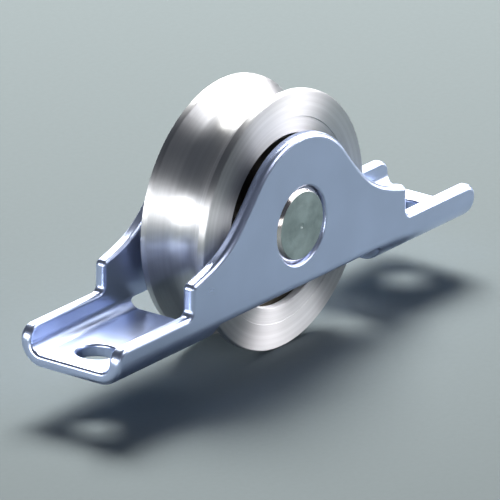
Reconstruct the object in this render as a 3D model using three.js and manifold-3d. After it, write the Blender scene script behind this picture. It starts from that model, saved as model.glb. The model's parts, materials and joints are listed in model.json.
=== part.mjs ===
// Sliding door roller: a grooved wheel on a ball bearing, held between the cheeks of a pressed channel.
// Millimetres, +Z up, +X along the channel, +Y across it. The origin is on the rail line's level,
// straight under the axle: the wheel's lowest point is at z = 0.

import * as THREE from 'three';
import { mergeVertices } from 'three/addons/utils/BufferGeometryUtils.js';
import Module from 'manifold-3d';

// Wheel
const WHEEL_RADIUS = 25;
const WHEEL_WIDTH = 14.7;
const ROOT_RADIUS = 21.15; // bottom of the groove
const ROOT_WIDTH = 4;
const GROOVE_WIDTH = 11.84; // between the two rims, at the tread
const RIM_CHAMFER = 0.3;
const FACE_STEP_RADIUS = 19.9; // the face drops a little inside this circle
const FACE_STEP_DEPTH = 0.25;
const LIP_RADIUS = 16.7; // front lip that holds the bearing in
const CIRCLIP_GROOVE_RADIUS = 18.6;
const WHEEL_SEGMENTS = 60;

// Bearing, 15 x 35 x 11 mm
const BORE_RADIUS = 7.5;
const BEARING_RADIUS = 17.5;
const BEARING_WIDTH = 11;
const INNER_SHOULDER_RADIUS = 10.4;
const OUTER_SHOULDER_RADIUS = 14.6;
const BALL_RADIUS = 2.975;
const PITCH_RADIUS = 12.5;
const BALL_COUNT = 8;
const RACE_GAP = 0.15;
const RACE_STEPS = 5;
const EDGE_CHAMFER = 0.5;
const SHIELD_SEAT_RADIUS = 15.7;
const SHIELD_THICKNESS = 0.5;
const SHIELD_INNER_RADIUS = 10.8;
const SHIELD_SETBACK = 0.3; // in from the bearing's face
const SHIELD_LIP_WIDTH = 0.9;
const SHIELD_LIP_DROP = 0.25;
const BEARING_SEGMENTS = 48;

// Ball cage: two pressed halves, riveted between the pockets
const CAGE_INNER_RADIUS = 11;
const CAGE_OUTER_RADIUS = 14;
const CAGE_THICKNESS = 0.5;
const CAGE_HALF_GAP = 0.15; // each half's distance from the middle plane
const POCKET_RADIUS = 3.3;
const RIVET_RADIUS = 0.45;
const RIVET_HEAD_RADIUS = 0.75;
const RIVET_HEAD_HEIGHT = 0.4;
const RIVET_CROWN_RADIUS = 0.45; // flat top of a head

// Axle, spacers and retaining ring
const AXLE_CHAMFER = 1;
const SPACER_RADIUS = 9.8;
const CIRCLIP_RADIUS = 18.3;
const CIRCLIP_INNER_RADIUS = 16;
const CIRCLIP_THICKNESS = 1.2;
const CIRCLIP_OPENING = THREE.MathUtils.degToRad(26);
const CIRCLIP_LUG_RADIUS = 1.6;
const CIRCLIP_EYE_RADIUS = 0.7;
const CIRCLIP_LUG_REACH = 2.2; // from a tip to where its lug meets the ring, in lug radii
const CIRCLIP_LUG_ROOT = 0.55 * Math.PI; // where a lug's arc meets the ring's inner edge

// Frame: one pressed channel
const FRAME_LENGTH = 112;
const FRAME_WIDTH = 23;
const SHEET = 2.5;
const FRAME_BOTTOM = 9.5; // the wheel stands out this far below it
const BEND_RADIUS = 4.8; // outside of the bend between floor and wall
const LOW_WALL_TOP = 17.05;
const WALL_END_RADIUS = 2.75;
const STEP_X = 33.6; // where the cheek steps up from the low wall
const STEP_TOP = 22.9;
const STEP_TOP_RADIUS = 1;
const STEP_FOOT_RADIUS = 1.3;
const CHEEK_RADIUS = 17.7; // about the axle
const FLARE_ANGLE = THREE.MathUtils.degToRad(40); // where the flare leaves the cheek's arc
const FLARE_LENGTH = 12; // how far the flare keeps the arc's direction
const SHOULDER_SLOPE = THREE.MathUtils.degToRad(14);
const SHOULDER_LENGTH = 11;
const SLOT_HALF_LENGTH = 25.6;
const SLOT_HALF_WIDTH = 11.1; // on the flat blank
const SLOT_CORNER_RADIUS = 1.2;
const SCREW_HOLE_X = 47.7;
const SCREW_HOLE_RADIUS = 3.65;
const SCREW_HOLE_LEAD = 0.6; // lead-in at its upper edge
const AXLE_HOLE_CHAMFER = 0.4;

const FIT_GAP = 0.1; // between pieces that touch on the real roller
const AXLE_Z = WHEEL_RADIUS;
const CUT_MARGIN = 5; // how far a cutting tool passes the faces that it cuts
const SLOT_CUT_MARGIN = 1; // the same for the slot: its cutter stays clear of the bend's centre
const CHAMFER_OVERRUN = 1; // the same for a 45 degree edge

const wasm = await Module();
wasm.setup();

const roller = new THREE.Group();
const axleGroup = new THREE.Group(); // everything round the axle is drawn about its own Y axis
axleGroup.position.z = AXLE_Z;
roller.add(axleGroup);

const FINISHES = {
  pressedSheet: { color: 0x9fa8bf, roughness: 0.3, metalness: 1 },
  turnedSteel: { color: 0xd8d6d2, roughness: 0.22, metalness: 1 },
  axleSteel: { color: 0x8d9a99, roughness: 0.45, metalness: 1 },
  bearingSteel: { color: 0xc9ccd0, roughness: 0.15, metalness: 1 },
  cageSheet: { color: 0xb9b4a6, roughness: 0.4, metalness: 1 },
  springSteel: { color: 0x5d6066, roughness: 0.35, metalness: 1 },
};

function addPart(group, name, geometry, finish) {
  const material = new THREE.MeshStandardMaterial(FINISHES[finish]);
  const mesh = new THREE.Mesh(geometry, material);
  mesh.name = name;
  group.add(mesh);
  return mesh;
}

// A full turn of a closed profile, given as [radius, y] pairs that run anticlockwise.
function turned(profile, segments) {
  const points = profile.map(([radius, y]) => new THREE.Vector2(radius, y));
  const [first, last] = [points[0], points[points.length - 1]];
  const onAxis = first.x === 0 && last.x === 0;
  if (!onAxis) points.push(first.clone());
  return new THREE.LatheGeometry(points, segments);
}

function toSolid(geometry) {
  const bare = geometry.clone();
  bare.deleteAttribute('normal');
  bare.deleteAttribute('uv');
  const merged = mergeVertices(bare);
  return new wasm.Manifold(new wasm.Mesh({
    numProp: 3,
    vertProperties: new Float32Array(merged.attributes.position.array),
    triVerts: new Uint32Array(merged.index.array),
  }));
}

function toGeometry(solid) {
  const { vertProperties, triVerts } = solid.getMesh();
  const geometry = new THREE.BufferGeometry();
  geometry.setAttribute('position', new THREE.BufferAttribute(vertProperties, 3));
  geometry.setIndex(new THREE.BufferAttribute(triVerts, 1));
  return geometry;
}

// Points on an arc from one angle to another, both ends included.
function arc(centreX, centreY, radius, from, to, steps) {
  return Array.from({ length: steps + 1 }, (_, i) => {
    const angle = from + ((to - from) * i) / steps;
    return [centreX + radius * Math.cos(angle), centreY + radius * Math.sin(angle)];
  });
}

function shapeFrom(points) {
  return new THREE.Shape(points.map(([x, y]) => new THREE.Vector2(x, y)));
}

// ---- Frame ----

// Half of the side view's upper edge, from the end of the low wall to the top of the cheek.
function halfSideOutline() {
  const endX = FRAME_LENGTH / 2;
  const wallEnd = arc(endX - WALL_END_RADIUS, LOW_WALL_TOP - WALL_END_RADIUS, WALL_END_RADIUS,
    0, Math.PI / 2, 5);
  const foot = arc(STEP_X + STEP_FOOT_RADIUS, LOW_WALL_TOP + STEP_FOOT_RADIUS, STEP_FOOT_RADIUS,
    1.5 * Math.PI, Math.PI, 4);
  const stepTop = arc(STEP_X - STEP_TOP_RADIUS, STEP_TOP - STEP_TOP_RADIUS, STEP_TOP_RADIUS,
    0, Math.PI / 2 - SHOULDER_SLOPE, 4);

  const [shoulderX, shoulderZ] = stepTop[stepTop.length - 1];
  const flareX = CHEEK_RADIUS * Math.cos(FLARE_ANGLE);
  const flareZ = AXLE_Z + CHEEK_RADIUS * Math.sin(FLARE_ANGLE);
  const flare = new THREE.CubicBezierCurve(
    new THREE.Vector2(shoulderX, shoulderZ),
    new THREE.Vector2(shoulderX - SHOULDER_LENGTH * Math.cos(SHOULDER_SLOPE),
      shoulderZ + SHOULDER_LENGTH * Math.sin(SHOULDER_SLOPE)),
    new THREE.Vector2(flareX + FLARE_LENGTH * Math.sin(FLARE_ANGLE),
      flareZ - FLARE_LENGTH * Math.cos(FLARE_ANGLE)),
    new THREE.Vector2(flareX, flareZ),
  ).getPoints(10).map((point) => [point.x, point.y]);

  const crown = arc(0, AXLE_Z, CHEEK_RADIUS, FLARE_ANGLE, Math.PI / 2, 9);
  return [...wallEnd, ...foot, ...stepTop, ...flare.slice(1), ...crown.slice(1)];
}

function sideBlank() {
  const right = halfSideOutline();
  const left = right.slice(0, -1).reverse().map(([x, z]) => [-x, z]);
  const endX = FRAME_LENGTH / 2;
  const outline = shapeFrom([[-endX, FRAME_BOTTOM], [endX, FRAME_BOTTOM], ...right, ...left]);
  const blank = new THREE.ExtrudeGeometry(outline, { depth: FRAME_WIDTH, bevelEnabled: false });
  return toSolid(blank.rotateX(Math.PI / 2).translate(0, FRAME_WIDTH / 2, 0));
}

// The U section, run along X, with walls as high as the cheeks.
function channel() {
  const outerY = FRAME_WIDTH / 2;
  const innerY = outerY - SHEET;
  const top = AXLE_Z + CHEEK_RADIUS + CUT_MARGIN;
  const bend = (radius, from, to) => arc(0, FRAME_BOTTOM + BEND_RADIUS, radius, from, to, 6);
  const atWall = (points, side) => points.map(([y, z]) => [y + side * (outerY - BEND_RADIUS), z]);
  const section = shapeFrom([
    ...atWall(bend(BEND_RADIUS, Math.PI, 1.5 * Math.PI), -1),
    ...atWall(bend(BEND_RADIUS, 1.5 * Math.PI, 2 * Math.PI), 1),
    [outerY, top], [innerY, top],
    ...atWall(bend(BEND_RADIUS - SHEET, 2 * Math.PI, 1.5 * Math.PI), 1),
    ...atWall(bend(BEND_RADIUS - SHEET, 1.5 * Math.PI, Math.PI), -1),
    [-innerY, top], [-outerY, top],
  ]);
  const length = FRAME_LENGTH + 2 * CUT_MARGIN;
  const run = new THREE.ExtrudeGeometry(section, { depth: length, bevelEnabled: false });
  const upright = new THREE.Matrix4().makeBasis(
    new THREE.Vector3(0, 1, 0), new THREE.Vector3(0, 0, 1), new THREE.Vector3(1, 0, 0));
  return toSolid(run.applyMatrix4(upright).translate(-length / 2, 0, 0));
}

// A place on the flat blank, taken to the pressed channel. across runs over the sheet from its
// middle line, and depth goes in from its outer face.
function bent(x, across, depth) {
  const flat = FRAME_WIDTH / 2 - BEND_RADIUS;
  const angle = Math.max(0, Math.abs(across) - flat) / (BEND_RADIUS - SHEET / 2);
  const radius = BEND_RADIUS - depth;
  const y = Math.min(Math.abs(across), flat) + radius * Math.sin(angle);
  return [x, Math.sign(across) * y, FRAME_BOTTOM + BEND_RADIUS - radius * Math.cos(angle)];
}

// The slot is punched in the flat blank and runs up into both bends, so its cutter is bent too.
function wheelSlot() {
  const bendStart = FRAME_WIDTH / 2 - BEND_RADIUS;
  const cornerStart = SLOT_HALF_WIDTH - SLOT_CORNER_RADIUS;
  const corner = arc(SLOT_HALF_LENGTH - SLOT_CORNER_RADIUS, cornerStart, SLOT_CORNER_RADIUS,
    Math.PI / 2, 0, 5);
  const straight = [2 / 3, 1 / 3, 0].map((share) =>
    [SLOT_HALF_LENGTH, bendStart + (cornerStart - bendStart) * share]);
  const half = [...corner, ...straight];
  const rows = [...half, ...half.toReversed().map(([x, across]) => [x, -across])];
  const inside = SHEET + SLOT_CUT_MARGIN;
  const positions = rows.flatMap(([x, across]) => [
    bent(-x, across, inside), bent(x, across, inside),
    bent(x, across, -SLOT_CUT_MARGIN), bent(-x, across, -SLOT_CUT_MARGIN),
  ]).flat();
  const last = 4 * (rows.length - 1);
  const index = [0, 1, 2, 0, 2, 3, last, last + 2, last + 1, last, last + 3, last + 2];
  for (let row = 0; row < last; row += 4) {
    for (let i = 0; i < 4; i++) {
      const [a, b] = [row + i, row + (i + 1) % 4];
      index.push(a, a + 4, b + 4, a, b + 4, b);
    }
  }
  const cutter = new THREE.BufferGeometry();
  cutter.setAttribute('position', new THREE.Float32BufferAttribute(positions, 3));
  cutter.setIndex(index);
  return toSolid(cutter);
}

function screwHole(x) {
  const floorTop = FRAME_BOTTOM + SHEET;
  const cutter = turned([
    [0, FRAME_BOTTOM - CUT_MARGIN], [SCREW_HOLE_RADIUS, FRAME_BOTTOM - CUT_MARGIN],
    [SCREW_HOLE_RADIUS, floorTop - SCREW_HOLE_LEAD],
    [SCREW_HOLE_RADIUS + SCREW_HOLE_LEAD + CHAMFER_OVERRUN, floorTop + CHAMFER_OVERRUN],
    [0, floorTop + CHAMFER_OVERRUN],
  ], 32);
  return toSolid(cutter.rotateX(Math.PI / 2).translate(x, 0, 0));
}

function axleHole() {
  const radius = BORE_RADIUS + FIT_GAP;
  const mouth = radius + AXLE_HOLE_CHAMFER + CHAMFER_OVERRUN;
  const [face, end] = [FRAME_WIDTH / 2, FRAME_WIDTH / 2 + CHAMFER_OVERRUN];
  const cutter = turned([
    [0, -end], [mouth, -end], [radius, -face + AXLE_HOLE_CHAMFER],
    [radius, face - AXLE_HOLE_CHAMFER], [mouth, end], [0, end],
  ], BEARING_SEGMENTS);
  return toSolid(cutter.translate(0, 0, AXLE_Z));
}

function frameGeometry() {
  let solid = channel().intersect(sideBlank()).subtract(wheelSlot()).subtract(axleHole());
  for (const side of [-1, 1]) solid = solid.subtract(screwHole(side * SCREW_HOLE_X));
  return toGeometry(solid);
}

// ---- Wheel ----

function wheelGeometry() {
  const face = WHEEL_WIDTH / 2;
  const sunk = face - FACE_STEP_DEPTH;
  const seat = BEARING_RADIUS + FIT_GAP;
  const bearingFace = BEARING_WIDTH / 2;
  const ringFace = bearingFace + FIT_GAP;
  const groove = GROOVE_WIDTH / 2;
  return turned([
    [LIP_RADIUS, -sunk], [FACE_STEP_RADIUS, -sunk], [FACE_STEP_RADIUS, -face],
    [WHEEL_RADIUS - RIM_CHAMFER, -face], [WHEEL_RADIUS, -face + RIM_CHAMFER],
    [WHEEL_RADIUS, -groove], [ROOT_RADIUS, -ROOT_WIDTH / 2],
    [ROOT_RADIUS, ROOT_WIDTH / 2], [WHEEL_RADIUS, groove],
    [WHEEL_RADIUS, face - RIM_CHAMFER], [WHEEL_RADIUS - RIM_CHAMFER, face],
    [FACE_STEP_RADIUS, face], [FACE_STEP_RADIUS, sunk], [seat, sunk],
    [seat, ringFace + CIRCLIP_THICKNESS + FIT_GAP],
    [CIRCLIP_GROOVE_RADIUS, ringFace + CIRCLIP_THICKNESS + FIT_GAP],
    [CIRCLIP_GROOVE_RADIUS, bearingFace], [seat, bearingFace],
    [seat, -ringFace], [LIP_RADIUS, -ringFace],
  ], WHEEL_SEGMENTS);
}

// ---- Bearing ----

// The race: part of a circle round the ball, between the two shoulders at this radius.
function race(shoulderRadius) {
  const radius = BALL_RADIUS + RACE_GAP;
  const depth = shoulderRadius - PITCH_RADIUS;
  const halfAngle = Math.acos(Math.abs(depth) / radius);
  const middle = depth > 0 ? 0 : Math.PI;
  return arc(PITCH_RADIUS, 0, radius, middle + halfAngle, middle - halfAngle, RACE_STEPS);
}

function outerRingGeometry() {
  const face = BEARING_WIDTH / 2;
  const seatFloor = face - SHIELD_THICKNESS - 2 * FIT_GAP - SHIELD_SETBACK;
  return turned([
    [SHIELD_SEAT_RADIUS, -face], [BEARING_RADIUS - EDGE_CHAMFER, -face],
    [BEARING_RADIUS, -face + EDGE_CHAMFER], [BEARING_RADIUS, face - EDGE_CHAMFER],
    [BEARING_RADIUS - EDGE_CHAMFER, face], [SHIELD_SEAT_RADIUS, face],
    [SHIELD_SEAT_RADIUS, seatFloor], [OUTER_SHOULDER_RADIUS, seatFloor],
    ...race(OUTER_SHOULDER_RADIUS),
    [OUTER_SHOULDER_RADIUS, -seatFloor], [SHIELD_SEAT_RADIUS, -seatFloor],
  ], BEARING_SEGMENTS);
}

function innerRingGeometry() {
  const face = BEARING_WIDTH / 2;
  const bore = BORE_RADIUS + FIT_GAP;
  return turned([
    [bore, face - EDGE_CHAMFER], [bore, -face + EDGE_CHAMFER], [bore + EDGE_CHAMFER, -face],
    [INNER_SHOULDER_RADIUS, -face],
    ...race(INNER_SHOULDER_RADIUS),
    [INNER_SHOULDER_RADIUS, face], [bore + EDGE_CHAMFER, face],
  ], BEARING_SEGMENTS);
}

// One half of the cage: a flat ring with a round pocket over each ball, on the +Y side.
function cageHalfGeometry(side) {
  const ring = (inner, outer, low, high) => toSolid(turned(
    [[inner, low], [outer, low], [outer, high], [inner, high]], BEARING_SEGMENTS));
  const flat = CAGE_HALF_GAP + CAGE_THICKNESS;
  let sheet = ring(CAGE_INNER_RADIUS, CAGE_OUTER_RADIUS, CAGE_HALF_GAP, flat);
  let pockets = null;
  for (let i = 0; i < BALL_COUNT; i += 1) {
    const dome = toSolid(ballShape(POCKET_RADIUS + CAGE_THICKNESS, i));
    const hollow = toSolid(ballShape(POCKET_RADIUS, i));
    sheet = sheet.add(dome);
    pockets = pockets ? pockets.add(hollow) : hollow;
  }
  const reach = POCKET_RADIUS + 2 * CAGE_THICKNESS;
  let half = sheet.intersect(ring(CAGE_INNER_RADIUS, CAGE_OUTER_RADIUS, CAGE_HALF_GAP, reach));
  half = half.subtract(pockets);
  for (let i = 0; i < BALL_COUNT; i += 1) {
    const hole = new THREE.CylinderGeometry(RIVET_RADIUS + FIT_GAP, RIVET_RADIUS + FIT_GAP, reach, 8);
    half = half.subtract(toSolid(hole.translate(...betweenBalls(i).toArray())));
  }
  const geometry = toGeometry(half);
  return side > 0 ? geometry : geometry.rotateZ(Math.PI);
}

function aroundAxle(radius, angle) {
  return new THREE.Vector3(radius * Math.cos(angle), 0, radius * Math.sin(angle));
}

function ballCentre(index) {
  return aroundAxle(PITCH_RADIUS, Math.PI / 2 + (index * 2 * Math.PI) / BALL_COUNT);
}

function betweenBalls(index) {
  return ballCentre(index + 0.5);
}

function ballShape(radius, index) {
  return new THREE.SphereGeometry(radius, 12, 8).translate(...ballCentre(index).toArray());
}

function rivetGeometry() {
  const neck = CAGE_HALF_GAP + CAGE_THICKNESS + FIT_GAP;
  const end = neck + RIVET_HEAD_HEIGHT;
  return turned([
    [0, -end], [RIVET_CROWN_RADIUS, -end], [RIVET_HEAD_RADIUS, -neck], [RIVET_RADIUS, -neck],
    [RIVET_RADIUS, neck], [RIVET_HEAD_RADIUS, neck], [RIVET_CROWN_RADIUS, end],
    [0, end],
  ], 8);
}

// A thin disc with a raised inner edge, pressed into the outer ring. Drawn for the +Y side.
function shieldGeometry(side) {
  const outside = BEARING_WIDTH / 2 - SHIELD_SETBACK;
  const inside = outside - SHIELD_THICKNESS;
  const edge = SHIELD_INNER_RADIUS + SHIELD_LIP_WIDTH;
  const drop = SHIELD_LIP_DROP;
  const geometry = turned([
    [SHIELD_INNER_RADIUS, inside - drop], [edge, inside - drop], [edge + drop, inside],
    [SHIELD_SEAT_RADIUS - FIT_GAP, inside], [SHIELD_SEAT_RADIUS - FIT_GAP, outside],
    [edge, outside], [edge - drop, outside - drop], [SHIELD_INNER_RADIUS, outside - drop],
  ], BEARING_SEGMENTS);
  return side > 0 ? geometry : geometry.rotateZ(Math.PI);
}

// ---- Axle, spacers and retaining ring ----

function axleGeometry() {
  const end = FRAME_WIDTH / 2;
  return turned([
    [0, -end], [BORE_RADIUS - AXLE_CHAMFER, -end], [BORE_RADIUS, -end + AXLE_CHAMFER],
    [BORE_RADIUS, end - AXLE_CHAMFER], [BORE_RADIUS - AXLE_CHAMFER, end], [0, end],
  ], BEARING_SEGMENTS);
}

function spacerGeometry(side) {
  const inner = BEARING_WIDTH / 2 + FIT_GAP;
  const outer = FRAME_WIDTH / 2 - SHEET - FIT_GAP;
  const bore = BORE_RADIUS + FIT_GAP;
  const geometry = turned([
    [bore, inner], [SPACER_RADIUS, inner], [SPACER_RADIUS, outer - EDGE_CHAMFER],
    [SPACER_RADIUS - EDGE_CHAMFER, outer], [bore, outer],
  ], BEARING_SEGMENTS);
  return side > 0 ? geometry : geometry.rotateZ(Math.PI);
}

// An internal circlip, open at the top, with a plier eye in a lug at each end.
function circlipGeometry() {
  const half = CIRCLIP_OPENING / 2;
  const [start, finish] = [Math.PI / 2 + half, 2.5 * Math.PI - half];
  const lugRadius = CIRCLIP_INNER_RADIUS;
  const lugTurn = CIRCLIP_LUG_RADIUS / lugRadius;
  const lugArc = (angle, from, to) => arc(lugRadius * Math.cos(angle), lugRadius * Math.sin(angle),
    CIRCLIP_LUG_RADIUS, angle + from, angle + to, 6);
  const outline = shapeFrom([
    ...arc(0, 0, CIRCLIP_RADIUS, start, finish, 40),
    ...lugArc(finish - lugTurn, Math.PI / 2, 2 * Math.PI - CIRCLIP_LUG_ROOT),
    ...arc(0, 0, CIRCLIP_INNER_RADIUS, finish - CIRCLIP_LUG_REACH * lugTurn,
      start + CIRCLIP_LUG_REACH * lugTurn, 30),
    ...lugArc(start + lugTurn, CIRCLIP_LUG_ROOT, 1.5 * Math.PI),
  ]);
  for (const angle of [start + lugTurn, finish - lugTurn]) {
    const eye = arc(lugRadius * Math.cos(angle), lugRadius * Math.sin(angle),
      CIRCLIP_EYE_RADIUS, 2 * Math.PI, 0, 10).slice(1);
    outline.holes.push(new THREE.Path(eye.map(([x, y]) => new THREE.Vector2(x, y))));
  }
  const ring = new THREE.ExtrudeGeometry(outline, { depth: CIRCLIP_THICKNESS, bevelEnabled: false });
  return ring.rotateX(Math.PI / 2).translate(0, BEARING_WIDTH / 2 + FIT_GAP / 2 + CIRCLIP_THICKNESS, 0);
}

// ---- Assembly ----

const SIDES = [['front', -1], ['back', 1]];

addPart(roller, 'frame', frameGeometry(), 'pressedSheet');
addPart(axleGroup, 'axle', axleGeometry(), 'axleSteel');
addPart(axleGroup, 'wheel', wheelGeometry(), 'turnedSteel');
addPart(axleGroup, 'bearing_outer_ring', outerRingGeometry(), 'bearingSteel');
addPart(axleGroup, 'bearing_inner_ring', innerRingGeometry(), 'bearingSteel');

for (let i = 0; i < BALL_COUNT; i += 1) {
  const ball = new THREE.SphereGeometry(BALL_RADIUS, 12, 8);
  addPart(axleGroup, `ball_${i + 1}`, ball, 'bearingSteel').position.copy(ballCentre(i));
}
for (let i = 0; i < BALL_COUNT; i += 1) {
  const rivet = addPart(axleGroup, `cage_rivet_${i + 1}`, rivetGeometry(), 'cageSheet');
  rivet.position.copy(betweenBalls(i));
}
for (const [sideName, side] of SIDES) {
  addPart(axleGroup, `cage_${sideName}`, cageHalfGeometry(side), 'cageSheet');
  addPart(axleGroup, `shield_${sideName}`, shieldGeometry(side), 'bearingSteel');
  addPart(axleGroup, `spacer_${sideName}`, spacerGeometry(side), 'turnedSteel');
}
addPart(axleGroup, 'retaining_ring', circlipGeometry(), 'springSteel');

export default roller;
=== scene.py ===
import json
import math

import bmesh
import bpy
from bpy.props import FloatProperty, FloatVectorProperty, IntProperty, PointerProperty
from mathutils import Matrix, Vector
from mathutils.geometry import interpolate_bezier

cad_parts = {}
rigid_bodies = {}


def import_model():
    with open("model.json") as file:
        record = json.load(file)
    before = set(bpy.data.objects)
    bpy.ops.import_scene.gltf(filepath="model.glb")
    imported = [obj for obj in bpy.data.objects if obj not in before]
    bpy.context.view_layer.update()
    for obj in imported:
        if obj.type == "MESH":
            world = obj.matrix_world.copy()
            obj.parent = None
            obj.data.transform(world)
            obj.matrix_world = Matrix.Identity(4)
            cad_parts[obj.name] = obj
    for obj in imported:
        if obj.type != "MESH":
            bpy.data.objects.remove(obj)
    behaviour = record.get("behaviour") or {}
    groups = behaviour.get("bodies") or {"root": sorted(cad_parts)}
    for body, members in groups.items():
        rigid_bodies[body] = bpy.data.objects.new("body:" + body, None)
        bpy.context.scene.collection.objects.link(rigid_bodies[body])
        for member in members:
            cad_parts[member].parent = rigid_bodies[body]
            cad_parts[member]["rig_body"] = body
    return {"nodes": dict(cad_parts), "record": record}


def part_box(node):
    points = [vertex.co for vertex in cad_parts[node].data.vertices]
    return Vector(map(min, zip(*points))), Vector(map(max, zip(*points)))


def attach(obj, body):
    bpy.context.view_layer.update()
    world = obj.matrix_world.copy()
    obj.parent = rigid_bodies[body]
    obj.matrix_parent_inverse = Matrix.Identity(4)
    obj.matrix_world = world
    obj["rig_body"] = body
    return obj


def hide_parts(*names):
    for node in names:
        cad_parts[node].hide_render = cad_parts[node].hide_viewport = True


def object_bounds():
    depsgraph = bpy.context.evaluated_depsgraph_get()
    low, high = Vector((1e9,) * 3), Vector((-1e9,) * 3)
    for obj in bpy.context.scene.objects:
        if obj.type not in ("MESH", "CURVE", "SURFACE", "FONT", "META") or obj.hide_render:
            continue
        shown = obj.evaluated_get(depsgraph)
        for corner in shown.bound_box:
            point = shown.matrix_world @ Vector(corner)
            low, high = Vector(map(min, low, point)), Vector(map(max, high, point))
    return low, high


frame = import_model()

bl_info = {
    "name": "Sliding Door Roller",
    "version": (1, 0, 0),
    "blender": (4, 5, 0),
    "location": "3D View > Sidebar > Roller",
    "description": "Builds a sliding door roller: pressed channel, grooved wheel, axle, bearing",
    "category": "Add Mesh",
}

CAD_LOW, CAD_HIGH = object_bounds()
MM = 0.001

FRAME_LOW, FRAME_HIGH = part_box("frame")
_, WHEEL_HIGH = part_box("wheel")
AXLE_LOW, AXLE_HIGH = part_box("axle")
_, OUTER_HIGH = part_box("bearing_outer_ring")
SPACER_LOW, SPACER_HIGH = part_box("spacer_back")
CLIP_LOW, CLIP_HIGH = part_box("retaining_ring")
CAGE_LOW, CAGE_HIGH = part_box("cage_back")
SHIELD_LOW, SHIELD_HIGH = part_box("shield_back")
AXLE_CENTRE = (AXLE_LOW + AXLE_HIGH) / 2
BALL_COUNT = sum(1 for node in frame["nodes"] if node.startswith("ball_"))

FULL_TURN = 2 * math.pi
QUARTER_TURN = math.pi / 2
MERGE_DISTANCE = 0.0005 * MM
TURNING_MAP = "turning"

AXLE_CHAMFER = 1 * MM
AXLE_GAP = 0.1 * MM           # round the axle, in every bore
FINISH_FADE = 0.3 * MM        # over which one finish gives way to the next
NOISE_RANGE = (0.3, 0.7)      # where most values of a noise pattern lie


# ---------------------------------------------------------------- sizes and colours

def size(name, description, default):
    return FloatProperty(name=name, description=description, default=default, unit="LENGTH")


def share(name, description, default):
    return FloatProperty(name=name, description=description, default=default, min=0, max=1,
                         subtype="FACTOR")


def colour(name, description, default):
    return FloatVectorProperty(name=name, description=description, default=default, size=3,
                               min=0, max=1, subtype="COLOR")


def count(name, description, default):
    return IntProperty(name=name, description=description, default=default, min=3)


class RollerFrameSizes(bpy.types.PropertyGroup):
    """Sizes of the pressed channel that its overall box doesn't give."""
    sheet: size("Sheet", "Thickness of the stainless sheet", 2.5 * MM)
    bend_radius: size("Bend radius", "Outside of the bend between floor and wall", 4.8 * MM)
    low_wall_top: size("Low wall top", "Height of the low walls' top edge", 17.05 * MM)
    wall_end_radius: size("Wall end radius", "Corner at each end of the low walls", 2.75 * MM)
    step_x: size("Step", "Where the cheek steps up from the low wall", 33.6 * MM)
    step_top: size("Step top", "Height of the step's corner", 22.9 * MM)
    step_top_radius: size("Step corner radius", "Outer corner of the step", 1.2 * MM)
    step_foot_radius: size("Step foot radius", "Inner corner of the step", 1.3 * MM)
    slot_length: size("Slot length", "Wheel slot, end to end", 51.2 * MM)
    slot_width: size("Slot width", "Wheel slot, measured on the flat blank", 22.2 * MM)
    slot_corner_radius: size("Slot corner radius", "Corners of the wheel slot", 1.2 * MM)
    screw_hole_x: size("Screw hole", "Distance of each screw hole from the middle", 47.7 * MM)
    screw_hole_radius: size("Screw hole radius", "Radius of each screw hole", 3.65 * MM)
    screw_hole_lip: size("Screw hole lip", "Rolled upper edge of each screw hole", 0.65 * MM)
    screw_hole_rounding: size("Screw hole edge", "Lower edge of each screw hole", 0.3 * MM)
    axle_hole_rounding: size("Axle hole edge", "Outer edge of each axle hole", 0.45 * MM)
    axle_hole_inner: size("Axle hole inner edge", "Inner edge of each axle hole", 0.15 * MM)
    slot_rounding: size("Slot edge", "Both edges of the wheel slot", 0.35 * MM)
    edge_rounding: size("Edge rounding", "Tumbled edge on the sheet's outer face", 1.1 * MM)
    inner_rounding: size("Inner edge rounding", "Edge on the sheet's inner face", 0.7 * MM)
    bend_steps: count("Bend steps", "Faces across each bend", 14)


class RollerWheelSizes(bpy.types.PropertyGroup):
    """Sizes of the grooved wheel that its overall box doesn't give."""
    root_radius: size("Root radius", "Radius at the bottom of the groove", 21.15 * MM)
    root_width: size("Root width", "Bottom of the groove, before rounding", 4 * MM)
    root_rounding: size("Root rounding", "Blends the groove's bottom into its slopes", 4.4 * MM)
    groove_width: size("Groove width", "Between the two rims, at the tread", 11.84 * MM)
    face_step_radius: size("Face step radius", "The face drops a little inside it", 19.9 * MM)
    face_step_depth: size("Face step depth", "How far the face drops", 0.12 * MM)
    lip_radius: size("Lip radius", "Mouth of the recess that holds the bearing", 16.7 * MM)
    clip_groove_radius: size("Clip groove radius", "Groove for the retaining ring", 18.6 * MM)
    seat_gap: size("Seat gap", "Gap round and beside the bearing", 0.1 * MM)
    segments: count("Segments", "Faces round the wheel", 240)


class RollerBearingSizes(bpy.types.PropertyGroup):
    """Sizes inside the ball bearing."""
    ball_radius: size("Ball radius", "Radius of one ball", 2.975 * MM)
    pitch_radius: size("Pitch radius", "Distance of the balls from the axle's centre", 12.5 * MM)
    race_gap: size("Race gap", "Room between a ball and its race", 0.05 * MM)
    inner_shoulder: size("Inner shoulder", "Outside radius of the inner ring", 10.4 * MM)
    outer_shoulder: size("Outer shoulder", "Inside radius of the outer ring", 14.6 * MM)
    shield_seat: size("Shield seat", "Radius of the groove that holds a shield", 15.7 * MM)
    shield_inner: size("Shield inner edge", "Radius of a shield's hole", 10.8 * MM)
    shield_thickness: size("Shield thickness", "Sheet of a dust shield", 0.5 * MM)
    pocket_radius: size("Pocket radius", "Inside of a cage pocket", 3.3 * MM)
    cage_thickness: size("Cage thickness", "Strip that the cage is pressed from", 0.5 * MM)
    cage_inner: size("Cage inner edge", "Inside radius of the cage", 11 * MM)
    segments: count("Segments", "Faces round each ring", 160)


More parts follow.
